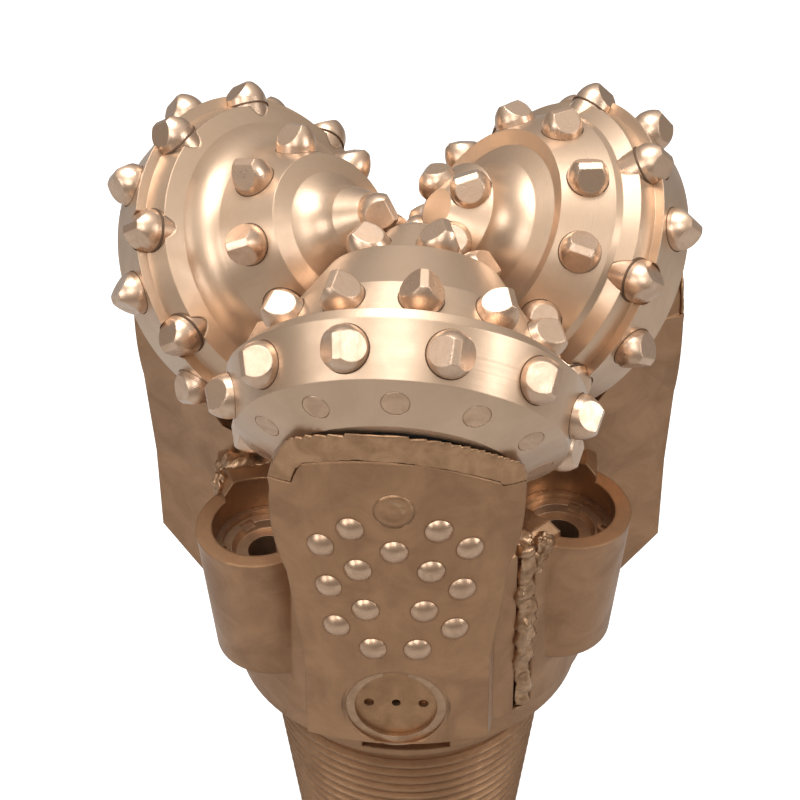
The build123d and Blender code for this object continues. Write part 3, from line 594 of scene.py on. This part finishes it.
@dataclass
class RollerCone:
    """A cone with its inserts, buttons and bearing pieces.

    Args:
        number: Number of the cone, from 1.
        rows: Its rings of inserts.
        shop: The paint shop.
        line_width: Width of the painted shade line round an insert's foot, in millimetres.
        line_height: How far that line stands out of the steel, in millimetres.
        line_depth: How deep it goes into the steel, in millimetres.
        line_lap: How far it goes under the insert, in millimetres.
        line_edge: Size of its bevelled outer edge, in millimetres.
        line_steps: Number of sides of its circle.
        bearings: Finish of each hidden bearing piece.
    """

    number: int
    rows: tuple[InsertRow, ...]
    shop: PaintShop
    line_width: float = 0.5
    line_height: float = 0.09
    line_depth: float = 0.6
    line_lap: float = 0.05
    line_edge: float = 0.2
    line_steps: int = 32
    bearings: dict[str, Coat] = field(default_factory=lambda: {
        "journal_bush": Coat.BRONZE, "thrust_washer": Coat.BRONZE,
        "journal_seal": Coat.RUBBER, "lock_balls": Coat.BALL})

    def frame(self) -> Matrix:
        """Finds the journal from the cone's joint.

        Returns:
            Its frame: Z to the nose, X level, origin on the axis.
        """
        joint = next(j for j in frame["joints"] if j["child"] == ROTOR.format(self.number))
        axis = Vector(joint["axis"]).normalized()
        level = axis.cross(Vector((0, 0, 1))).normalized()
        turned = Matrix((level, axis.cross(level), axis)).transposed().to_4x4()
        return Matrix.Translation(joint["pos_m"]) @ turned

    def build(self) -> None:
        """Models the painted shade lines round the feet of the inserts."""
        shape = bmesh.new()
        self._lines(shape)
        # Dark rings painted as the shade in the gaps round the insert seats.
        rings = new_piece(f"seat_lines_{self.number}", shape, ROTOR.format(self.number))
        self.shop.coat(rings, self.shop.material(Coat.SEAT))

    def _lines(self, shape: bmesh.types.BMesh) -> None:
        """Adds the painted shade line round the foot of each insert.

        Args:
            shape: The shape that takes the lines.
        """
        foot, edge = -self.line_depth, self.line_edge
        for row in self.rows:
            inner, outer = row.radius - self.line_lap, row.radius + self.line_width
            ring = lathe_turned([(inner, foot), (inner, self.line_height),
                                 (outer - edge, self.line_height), (outer, -edge),
                                 (outer, foot), (inner, foot)], self.line_steps)
            stamp = bpy.data.meshes.new("seat_line")
            ring.to_mesh(stamp)
            ring.free()
            for place, reach in row.places():
                fresh = add_copy(shape, stamp)
                for vertex in fresh:
                    vertex.co.z -= vertex.co.x ** 2 / (2 * reach)
                bmesh.ops.transform(shape, matrix=self.frame() @ place, verts=fresh)
            bpy.data.meshes.remove(stamp)

    def dress(self) -> None:
        """Coats the CAD pieces that turn with this cone."""
        nodes = frame["nodes"]
        tail = f"_{self.number}"
        turned = self.shop.material(Coat.CONE, self.frame(), tail)
        self.shop.coat(nodes["cone" + tail], turned)
        self.shop.coat(nodes["back_buttons" + tail], self.shop.material(Coat.BUTTON))
        for name, piece in nodes.items():
            if name.endswith("inserts" + tail) or name.endswith("insert" + tail):
                self.shop.coat(piece, self.shop.material(Coat.INSERT))
        for name, coat in self.bearings.items():
            self.shop.coat(nodes[name + tail], self.shop.material(coat))
        LOG.info("dressed cone %d", self.number)


# ---------------------------------------------------------------- legs and body
BEAD_VOXEL = 1.0 * MM
CRUST_VOXEL = 0.8 * MM
PLUG_STEPS = 48
PLUG_LUMP = 2.4 * MM
PLUG_UNEVEN = 0.0008           # as a share of the distance from the origin
SPLASH_LUMP = 2.2 * MM
SPLASH_UNEVEN = 0.35           # as a share of a lump's radius
SPLASH_FLATNESS = 0.75
SPLASH_LEVELS = 4


@dataclass
class Leg:
    """A leg with its welds, hardfacing, buttons, nozzle and grease reservoir.

    Args:
        number: Number of the leg, from 1.
        shop: The paint shop.
        wall: Radius of the leg's outer wall, in millimetres.
        skew: Sideways place of the journal, in millimetres.
        plug_height: Height of the ball plug's weld, in millimetres.
        seam_angle: From the leg's own direction to the seam on its right, in degrees.
        core: Radius at which the middles of the lumps beside the seam stand, in millimetres.
        splashes: Across, height and size of each lump of weld beside the seam's top.
        plug_profile: (radius, height) outline of the ball plug's weld, in millimetres.
        bead_ripples: Size and height of the seam weld's lumps, in metres.
        crust_ripples: Size and height of the hardfacing's lumps, in metres.
        dressed: Finish of each CAD piece of the leg.
    """

    number: int
    shop: PaintShop
    wall: float = 104.55
    skew: float = 5.5
    plug_height: float = 147.3
    seam_angle: float = 42.0
    core: float = 73.0
    splashes: tuple[tuple[float, float, float], ...] = (
        (8.2, 92.6, 4.4), (6.2, 88.0, 4.0), (9.4, 89.2, 2.6), (4.8, 83.5, 2.6), (6.8, 80.5, 1.6))
    plug_profile: tuple[tuple[float, float], ...] = (
        (0, -1.3), (7.1, -1.3), (7.1, 0.03), (4.3, 0.14), (3.7, -0.3), (2.4, -0.35), (1.5, 0.0),
        (0, 0.1))
    bead_ripples: tuple[tuple[float, float], ...] = (
        (0.011, 0.0022), (0.0045, 0.0020), (0.0018, 0.0007))
    crust_ripples: tuple[tuple[float, float], ...] = ((0.009, 0.0003), (0.0026, 0.00012))
    dressed: dict[str, Coat] = field(default_factory=lambda: {
        "leg": Coat.LEG, "shirttail_buttons": Coat.BUTTON, "ball_plug": Coat.WELD,
        "grease_canister": Coat.SHEET, "grease_diaphragm": Coat.RUBBER,
        "reservoir_cap": Coat.CAP, "nozzle": Coat.NOZZLE})

    def _wall_place(self, across: float, height: float) -> Matrix:
        """Finds a spot on the outer wall.

        Args:
            across: Sideways place from the journal, in millimetres.
            height: Height of the spot, in millimetres.

        Returns:
            Its frame, Z straight out of the steel.
        """
        turn = math.asin((across + self.skew) / self.wall)
        return (Matrix.Rotation(math.radians(LEG_PITCH) * (self.number - 1) + turn, 4, "Z")
                @ Matrix.Translation((0.0, -self.wall * MM, height * MM))
                @ Matrix.Rotation(math.pi / 2, 4, "X"))

    def build(self) -> None:
        """Models the welds, the hardfacing and the lumps beside the seam."""
        self._seam_bead()
        self._hardfacing()
        self._plug_weld()
        self._splash()

    def _seam_bead(self) -> None:
        """Seam weld with melted ripples and spatter."""
        node = f"seam_weld_{self.number}"
        shape = crusted(node, BEAD_VOXEL, self.bead_ripples)
        bead = new_piece(f"seam_bead_{self.number}", shape, BODY)
        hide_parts(node)
        self.shop.coat(bead, self.shop.material(Coat.WELD))

    def _hardfacing(self) -> None:
        """Crust of weld-on hardfacing along the shirttail's edge."""
        node = f"shirttail_hardfacing_{self.number}"
        shape = crusted(node, CRUST_VOXEL, self.crust_ripples)
        crust = new_piece(f"hardfacing_crust_{self.number}", shape, BODY)
        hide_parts(node)
        self.shop.coat(crust, self.shop.material(Coat.HARDFACE))

    def _plug_weld(self) -> None:
        """Ground weld that closes the ball hole, with a sunken ring round its middle."""
        shape = lathe_turned(self.plug_profile, PLUG_STEPS)
        for vertex in shape.verts:
            vertex.co.z -= vertex.co.x ** 2 / (2 * self.wall * MM)
        bmesh.ops.transform(shape, matrix=self._wall_place(0.0, self.plug_height),
                            verts=shape.verts)
        for vertex in shape.verts:
            vertex.co *= 1 + PLUG_UNEVEN * noise.noise(vertex.co / PLUG_LUMP)
        weld = new_piece(f"plug_weld_{self.number}", shape, BODY)
        self.shop.coat(weld, self.shop.material(Coat.LEG))

    def _splash(self) -> None:
        """Melted lumps of weld where the seam ends beside the nozzle boss."""
        turn = Matrix.Rotation(
            math.radians(LEG_PITCH * (self.number - 1) + self.seam_angle), 4, "Z")
        shape = bmesh.new()
        for across, height, size in self.splashes:
            made = bmesh.ops.create_icosphere(shape, subdivisions=SPLASH_LEVELS, radius=size * MM)
            lump = made["verts"]
            for vertex in lump:
                spot = vertex.co / SPLASH_LUMP + Vector((across, 0, 0))
                vertex.co *= 1 + SPLASH_UNEVEN * noise.noise(spot)
                vertex.co.y *= SPLASH_FLATNESS
            place = turn @ Matrix.Translation((across * MM, -self.core * MM, height * MM))
            bmesh.ops.transform(shape, matrix=place, verts=lump)
        splash = new_piece(f"weld_splash_{self.number}", shape, BODY)
        self.shop.coat(splash, self.shop.material(Coat.WELD))

    def dress(self) -> None:
        """Coats the CAD pieces of this leg."""
        for name, coat in self.dressed.items():
            self.shop.coat(frame["nodes"][f"{name}_{self.number}"], self.shop.material(coat))
        LOG.info("dressed leg %d", self.number)


@dataclass
class PinThread:
    """Tapered thread on the pin, in millimetres.

    Args:
        shop: The paint shop.
        pitch: Distance between two crests.
        large: Crest diameter in the plane of the shoulder.
        taper: Change of diameter per length.
        height: Height of the thread.
        crest: Width of the flat crest.
        sunk: How far the ridge goes into the steel under it.
        flank: Angle of a flank, in degrees.
        start: Height of the first turn.
        turns: Number of turns.
        steps: Steps in each turn.
    """

    shop: PaintShop
    pitch: float = 5.08
    large: float = 117.475
    taper: float = 0.25
    height: float = 2.99
    crest: float = 1.02
    sunk: float = 0.15
    flank: float = 30.0
    start: float = -17.5
    turns: int = 17
    steps: int = 60

    def build(self) -> None:
        """Spins the ridge down the pin and tapers it."""
        root = self.large / 2 - self.height - self.sunk
        top = self.large / 2
        half_crest = self.crest / 2
        half_root = half_crest + (top - root) * math.tan(math.radians(self.flank))
        outline = [(root, half_root), (top, half_crest), (top, -half_crest), (root, -half_root)]
        shape = bmesh.new()
        points = [shape.verts.new((r * MM, 0.0, (self.start + z) * MM)) for r, z in outline]
        first = shape.faces.new(points)
        bmesh.ops.spin(
            shape, geom=[first, *first.verts, *first.edges], cent=(0, 0, 0), axis=(0, 0, 1),
            dvec=(0, 0, -self.pitch * MM / self.steps), angle=math.tau * self.turns,
            steps=self.steps * self.turns, use_duplicate=False)
        for vertex in shape.verts:
            reach = math.hypot(vertex.co.x, vertex.co.y)
            narrowed = reach + vertex.co.z * self.taper / 2
            vertex.co.x *= narrowed / reach
            vertex.co.y *= narrowed / reach
        thread = new_piece("pin_thread", shape, BODY, smooth=False)
        self.shop.coat(thread, self.shop.material(Coat.LEG))


@dataclass
class LooseRings:
    """The spring rings and seal rings that three legs share.

    Args:
        shop: The paint shop.
    """

    shop: PaintShop

    def dress(self) -> None:
        """Coats the rings of the nozzles and of the reservoirs."""
        nodes = frame["nodes"]
        self.shop.coat(nodes["nozzle_rings"], self.shop.material(Coat.RING))
        self.shop.coat(nodes["reservoir_cap_rings"], self.shop.material(Coat.RING))
        self.shop.coat(nodes["nozzle_seal_rings"], self.shop.material(Coat.RUBBER))


# ---------------------------------------------------------------- studio
@dataclass(frozen=True)
class SoftLamp:
    """A square soft lamp.

    Args:
        name: Name of the lamp.
        place: Where it hangs, in metres.
        side: Length of its side, in metres.
        power: Power in watts.
    """

    name: str
    place: tuple[float, float, float]
    side: float
    power: float


@dataclass
class Studio:
    """Floor, soft lamps, sky and camera.

    Args:
        azimuth: Camera angle round the bit, in degrees.
        elevation: Camera angle above the horizon, in degrees.
        roll: Turn of the picture, in degrees.
        distance: From the target to the camera, in metres.
        target: Point that the camera looks at, in metres.
        lens: Focal length in millimetres.
        sensor: Width of the sensor in millimetres.
        floor_side: Length of the floor's side, in metres.
        floor_colour: Colour of the floor, linear.
        floor_glow: Light that the floor shows to the camera, so that it is white there.
        horizon: Colour of the room below and at the horizon, linear.
        low_sky: Colour of the room at low_share of the way up, linear.
        zenith: Colour of the room overhead, linear.
        low_share: Where low_sky stands, from the horizon 0 to the zenith 1.
        sky_strength: Strength of the room's light.
        lamps: The soft lamps.
    """

    azimuth: float = 5.73
    elevation: float = 35.15
    roll: float = -0.42
    distance: float = 0.784
    target: tuple[float, float, float] = (-0.0026, -0.0003, 0.1195)
    lens: float = 92.1
    sensor: float = 36.0
    floor_side: float = 12.0
    floor_colour: tuple[float, float, float] = (0.45, 0.44, 0.43)
    floor_glow: float = 0.85
    horizon: tuple[float, float, float] = (0.20, 0.18, 0.165)
    low_sky: tuple[float, float, float] = (0.34, 0.31, 0.285)
    zenith: tuple[float, float, float] = (1.0, 0.98, 0.95)
    low_share: float = 0.35
    sky_strength: float = 0.9
    lamps: tuple[SoftLamp, ...] = (
        SoftLamp("overhead", (-0.15, 0.10, 1.25), side=0.8, power=10.0),
        SoftLamp("front_left", (-1.00, -0.95, 0.85), side=0.7, power=5.0),
        SoftLamp("front_top", (-0.05, -0.95, 1.15), side=0.6, power=3.4),
        SoftLamp("right_side", (1.25, -0.35, 0.75), side=0.6, power=5.0),
    )

    def build(self) -> None:
        """Makes the floor, lamps, sky and camera."""
        self._floor()
        for lamp in self.lamps:
            self._lamp(lamp)
        self._sky()
        self._camera()
        bpy.context.scene.view_settings.view_transform = "Standard"

    def _floor(self) -> None:
        """Floor under the pin that is white to the camera and keeps the shadow."""
        shape = bmesh.new()
        bmesh.ops.create_grid(shape, x_segments=1, y_segments=1, size=self.floor_side / 2)
        bmesh.ops.translate(shape, vec=(0, 0, CAD_BOX[0].z), verts=shape.verts)
        mesh = bpy.data.meshes.new("studio_floor")
        shape.to_mesh(mesh)
        shape.free()
        floor = bpy.data.objects.new("studio_floor", mesh)
        bpy.context.scene.collection.objects.link(floor)
        material = bpy.data.materials.new("studio_white")
        material.use_nodes = True
        nodes, links = material.node_tree.nodes, material.node_tree.links
        shader = nodes["Principled BSDF"]
        shader.inputs["Base Color"].default_value = (*self.floor_colour, 1)
        shader.inputs["Roughness"].default_value = 0.9
        path = nodes.new("ShaderNodeLightPath")
        seen = nodes.new("ShaderNodeMath")
        seen.operation = "MAXIMUM"
        links.new(path.outputs["Is Camera Ray"], seen.inputs[0])
        links.new(path.outputs["Is Transmission Ray"], seen.inputs[1])
        glow = nodes.new("ShaderNodeMath")
        glow.operation = "MULTIPLY"
        glow.inputs[1].default_value = self.floor_glow
        links.new(seen.outputs[0], glow.inputs[0])
        shader.inputs["Emission Color"].default_value = (1, 1, 1, 1)
        links.new(glow.outputs[0], shader.inputs["Emission Strength"])
        mesh.materials.append(material)

    def _lamp(self, lamp: SoftLamp) -> None:
        """Hangs one soft lamp, aimed at the bit.

        Args:
            lamp: The lamp.
        """
        data = bpy.data.lights.new(lamp.name, "AREA")
        data.size = lamp.side
        data.energy = lamp.power
        placed = bpy.data.objects.new(lamp.name, data)
        bpy.context.scene.collection.objects.link(placed)
        placed.location = lamp.place
        aim = Vector(lamp.place) - Vector(self.target)
        placed.rotation_euler = aim.to_track_quat("Z", "Y").to_euler()

    def _sky(self) -> None:
        """Grey room that is lighter overhead and darker near the horizon."""
        world = bpy.data.worlds.new("studio_sky")
        bpy.context.scene.world = world
        world.use_nodes = True
        nodes, links = world.node_tree.nodes, world.node_tree.links
        split = nodes.new("ShaderNodeSeparateXYZ")
        links.new(nodes.new("ShaderNodeTexCoord").outputs["Generated"], split.inputs[0])
        ramp = nodes.new("ShaderNodeValToRGB")
        low, high = ramp.color_ramp.elements
        low.position, low.color = 0.0, (*self.horizon, 1)
        high.position, high.color = 1.0, (*self.zenith, 1)
        middle = ramp.color_ramp.elements.new(self.low_share)
        middle.color = (*self.low_sky, 1)
        links.new(split.outputs["Z"], ramp.inputs["Fac"])
        links.new(ramp.outputs["Color"], nodes["Background"].inputs["Color"])
        nodes["Background"].inputs["Strength"].default_value = self.sky_strength

    def _camera(self) -> None:
        """Puts the camera at its viewing angle."""
        around, above = math.radians(self.azimuth), math.radians(self.elevation)
        back = Vector((math.sin(around) * math.cos(above), -math.cos(around) * math.cos(above),
                       math.sin(above)))
        data = bpy.data.cameras.new("camera")
        data.lens = self.lens
        data.sensor_width = self.sensor
        camera = bpy.data.objects.new("camera", data)
        bpy.context.scene.collection.objects.link(camera)
        camera.location = Vector(self.target) + back * self.distance
        turned = back.to_track_quat("Z", "Y").to_matrix()
        turned = turned @ Euler((0, 0, math.radians(self.roll))).to_matrix()
        camera.rotation_euler = turned.to_euler()
        bpy.context.scene.camera = camera


# ---------------------------------------------------------------- the bit
CONE_ROWS = (
    (InsertRow(11, 222.2, **HEEL),
     InsertRow(11, 212.7, (64.8, 49.4), (51.4, 44.0)),
     InsertRow(5, 223.3, (33.5, 25.0), (14.6, 11.4), share=0.36)),
    (InsertRow(8, 176.0, **HEEL),
     InsertRow(8, 198.5, STEP_FOOT, (64.7, 58.0), **GAUGE),
     InsertRow(10, 201.4, (58.8, 51.4), (42.8, 39.6)),
     InsertRow(4, 246.0, (26.8, 20.8), (17.9, 7.8))),
    (InsertRow(9, 266.0, **HEEL),
     InsertRow(9, 246.0, STEP_FOOT, (63.4, 55.9), **GAUGE),
     InsertRow(8, 204.6, (55.0, 37.6), (34.3, 29.2))),
)


def main() -> None:
    """Builds and dresses the bit, then the studio."""
    shop = PaintShop()
    for number, rows in enumerate(CONE_ROWS, start=1):
        cone = RollerCone(number, rows, shop)
        cone.build()
        cone.dress()
        leg = Leg(number, shop)
        leg.build()
        leg.dress()
    PinThread(shop).build()
    LooseRings(shop).dress()
    Studio().build()


if __name__ == "__main__":
    main()
